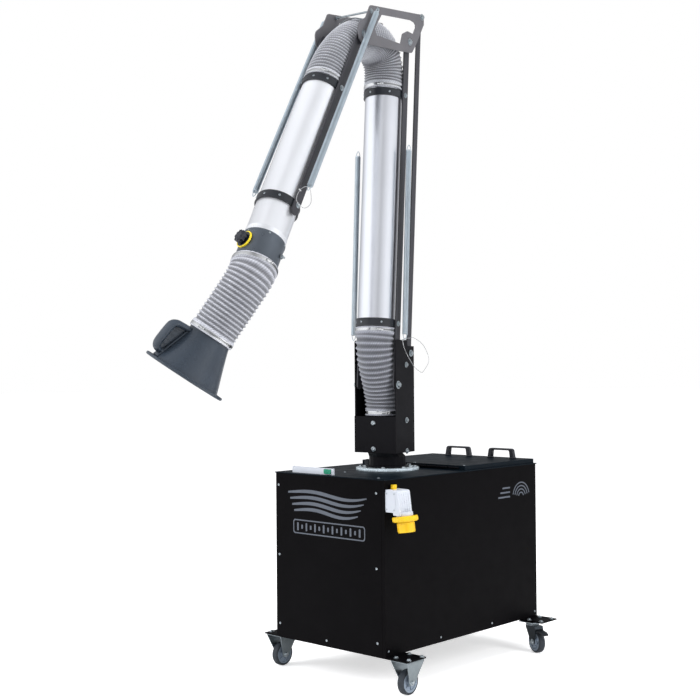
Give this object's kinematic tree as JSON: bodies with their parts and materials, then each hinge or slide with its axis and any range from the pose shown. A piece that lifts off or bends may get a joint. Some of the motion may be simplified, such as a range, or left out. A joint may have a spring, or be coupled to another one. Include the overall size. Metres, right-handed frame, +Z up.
{
  "type": "mobile fume extractor",
  "caption": "Mobile fume extractor: a black filter cabinet on castors with a balanced articulated arm, an adjustable damper and a conical extraction hood.",
  "frame": {"origin": "bottom centre of the bounding box, on the floor", "axes": "+Z up; the front of the cabinet faces -Y; +X is the side with the mains inlet"},
  "size_m": [0.8282, 1.9698, 2.8633],
  "materials": {
    "aluminium": "smooth bright tube",
    "black_plastic": "satin black moulded plastic",
    "black_powder_coat": "satin black powder coat with a very fine texture",
    "damper_grey": "satin dark grey",
    "filter_paper": "pleated off-white filter medium",
    "galvanised": "galvanised sheet",
    "green_plastic": "glossy green moulded plastic",
    "grey_powder_coat": "satin grey powder coat",
    "grey_rubber": "matt grey rubber tread",
    "hose_fabric": "grey coated cloth over a wire helix",
    "spring_steel": "bright wire",
    "white_plastic": "satin off-white moulded plastic",
    "yellow_plastic": "satin yellow moulded plastic",
    "zinc": "bright zinc plate"
  },
  "bodies": {
    "cabinet": {"base_pan": "galvanised", "left_side_panel": "black_powder_coat", "right_side_panel": "black_powder_coat", "front_panel": "black_powder_coat", "rear_panel": "black_powder_coat", "top_panel": "black_powder_coat", "control_housing": "white_plastic", "inlet_housing": "white_plastic", "inlet_ring": "yellow_plastic", "inlet_shroud": "yellow_plastic", "filter_cartridge": "filter_paper", "fan_scroll": "galvanised", "fan_motor": "damper_grey", "front_cross_member": "black_powder_coat", "rear_cross_member": "black_powder_coat", "front_left_fork": "zinc", "front_right_fork": "zinc", "base_flange": "zinc"},
    "lid": {"lid_panel": "black_powder_coat", "lid_handle_left": "black_plastic", "lid_handle_right": "black_plastic"},
    "start_button": {"start_button": "green_plastic"},
    "fan_impeller": {"fan_impeller": "galvanised"},
    "front_left_wheel": {"front_left_wheel": "grey_rubber"},
    "front_right_wheel": {"front_right_wheel": "grey_rubber"},
    "rear_left_fork": {"rear_left_fork": "zinc"},
    "rear_left_wheel": {"rear_left_wheel": "grey_rubber"},
    "rear_left_brake_pedal": {"rear_left_brake_pedal": "zinc"},
    "rear_right_fork": {"rear_right_fork": "zinc"},
    "rear_right_wheel": {"rear_right_wheel": "grey_rubber"},
    "rear_right_brake_pedal": {"rear_right_brake_pedal": "zinc"},
    "turret": {"turret_neck": "black_powder_coat", "turret_channel": "black_powder_coat", "left_cheek": "black_powder_coat", "right_cheek": "black_powder_coat", "turret_front_plate": "black_powder_coat", "turret_hose": "hose_fabric"},
    "lower_arm": {"lower_arm_left_bar": "black_powder_coat", "lower_arm_right_bar": "black_powder_coat", "lower_arm_tube": "aluminium", "lower_arm_bottom_collar": "black_powder_coat", "lower_arm_top_collar": "black_powder_coat", "lower_arm_left_spring": "spring_steel", "lower_arm_right_spring": "spring_steel"},
    "link": {"link_bar": "grey_powder_coat"},
    "elbow": {"elbow_left_plate": "grey_powder_coat", "elbow_right_plate": "grey_powder_coat", "elbow_hose": "hose_fabric"},
    "upper_arm": {"upper_arm_left_bar": "black_powder_coat", "upper_arm_right_bar": "black_powder_coat", "upper_arm_tube": "aluminium", "upper_arm_top_collar": "black_powder_coat", "upper_arm_bottom_collar": "black_powder_coat", "upper_arm_left_spring": "spring_steel", "upper_arm_right_spring": "spring_steel", "damper_housing": "damper_grey", "hood_hose": "hose_fabric"},
    "damper_valve": {"damper_valve": "black_plastic"},
    "hood_ring": {"hood_joint_ring": "zinc"},
    "hood": {"hood_cone": "black_plastic"}
  },
  "joints": [
    {"name": "lid_hinge", "type": "hinge", "parent": "cabinet", "child": "lid", "pos_m": [-0.0286, 0.4529, 0.854], "axis": [1, 0, 0], "range_deg": [0, 55]},
    {"name": "start_button_press", "type": "slide", "parent": "cabinet", "child": "start_button", "axis": [0, 1, 0], "range_m": [0, 0.003], "stiffness_N_per_m": 400, "springref_m": -0.001},
    {"name": "fan_spin", "type": "hinge", "parent": "cabinet", "child": "fan_impeller", "pos_m": [-0.0286, 0.2109, 0.33], "axis": [0, 0, 1], "continuous": true},
    {"name": "front_left_wheel_spin", "type": "hinge", "parent": "cabinet", "child": "front_left_wheel", "pos_m": [-0.3651, -0.0221, 0.05], "axis": [1, 0, 0], "continuous": true},
    {"name": "front_right_wheel_spin", "type": "hinge", "parent": "cabinet", "child": "front_right_wheel", "pos_m": [0.3449, -0.0221, 0.05], "axis": [1, 0, 0], "continuous": true},
    {"name": "rear_left_swivel", "type": "hinge", "parent": "cabinet", "child": "rear_left_fork", "pos_m": [-0.3676, 0.9009, 0], "axis": [0, 0, 1], "continuous": true},
    {"name": "rear_left_wheel_spin", "type": "hinge", "parent": "rear_left_fork", "child": "rear_left_wheel", "pos_m": [-0.3357, 0.8867, 0.05], "axis": [-0.4067, -0.9135, 0], "continuous": true},
    {"name": "rear_left_brake", "type": "hinge", "parent": "rear_left_fork", "child": "rear_left_brake_pedal", "pos_m": [-0.3146, 0.8773, 0.1015], "axis": [-0.4067, -0.9135, 0], "range_deg": [0, 12]},
    {"name": "rear_right_swivel", "type": "hinge", "parent": "cabinet", "child": "rear_right_fork", "pos_m": [0.3104, 0.9009, 0], "axis": [0, 0, 1], "continuous": true},
    {"name": "rear_right_wheel_spin", "type": "hinge", "parent": "rear_right_fork", "child": "rear_right_wheel", "pos_m": [0.3423, 0.8867, 0.05], "axis": [-0.4067, -0.9135, 0], "continuous": true},
    {"name": "rear_right_brake", "type": "hinge", "parent": "rear_right_fork", "child": "rear_right_brake_pedal", "pos_m": [0.3634, 0.8773, 0.1015], "axis": [-0.4067, -0.9135, 0], "range_deg": [0, 12]},
    {"name": "turret_swivel", "type": "hinge", "parent": "cabinet", "child": "turret", "pos_m": [-0.0286, 0.2969, 0.86], "axis": [0, 0, 1], "continuous": true},
    {"name": "lower_arm_tilt", "type": "hinge", "parent": "turret", "child": "lower_arm", "pos_m": [-0.0153, 0.22, 1.214], "axis": [0.9854, 0.1702, 0], "range_deg": [-8, 50], "deforming": ["lower_arm_left_spring", "lower_arm_right_spring", "turret_hose", "elbow_hose"]},
    {"name": "link_tilt", "type": "hinge", "parent": "turret", "child": "link", "pos_m": [-0.0341, 0.3284, 1.35], "axis": [0.9854, 0.1702, 0], "range_deg": [-8, 50]},
    {"name": "elbow_level", "type": "hinge", "parent": "lower_arm", "child": "elbow", "pos_m": [-0.0354, 0.3361, 2.7104], "axis": [0.9854, 0.1702, 0], "range_deg": [-50, 8]},
    {"name": "upper_arm_tilt", "type": "hinge", "parent": "elbow", "child": "upper_arm", "pos_m": [0.0288, -0.0354, 2.6584], "axis": [-0.9854, -0.1702, 0], "range_deg": [-22, 65], "deforming": ["upper_arm_left_spring", "upper_arm_right_spring", "elbow_hose"]},
    {"name": "damper_turn", "type": "hinge", "parent": "upper_arm", "child": "damper_valve", "pos_m": [0.1255, -0.5954, 1.72], "axis": [-0.0625, -0.8599, 0.5067], "range_deg": [0, 90]},
    {"name": "hood_nod", "type": "hinge", "parent": "upper_arm", "child": "hood_ring", "pos_m": [0.135, -0.6505, 1.6277], "axis": [0.9854, 0.1702, 0], "range_deg": [-35, 35], "deforming": ["hood_hose"]},
    {"name": "hood_swing", "type": "hinge", "parent": "hood_ring", "child": "hood", "pos_m": [0.135, -0.6505, 1.6277], "axis": [-0.1568, 0.9077, -0.3891], "range_deg": [-50, 15], "deforming": ["hood_hose"]}
  ],
  "couplings": [
    {"joint": "link_tilt", "follows": "lower_arm_tilt", "ratio": 1},
    {"joint": "elbow_level", "follows": "lower_arm_tilt", "ratio": -1}
  ]
}
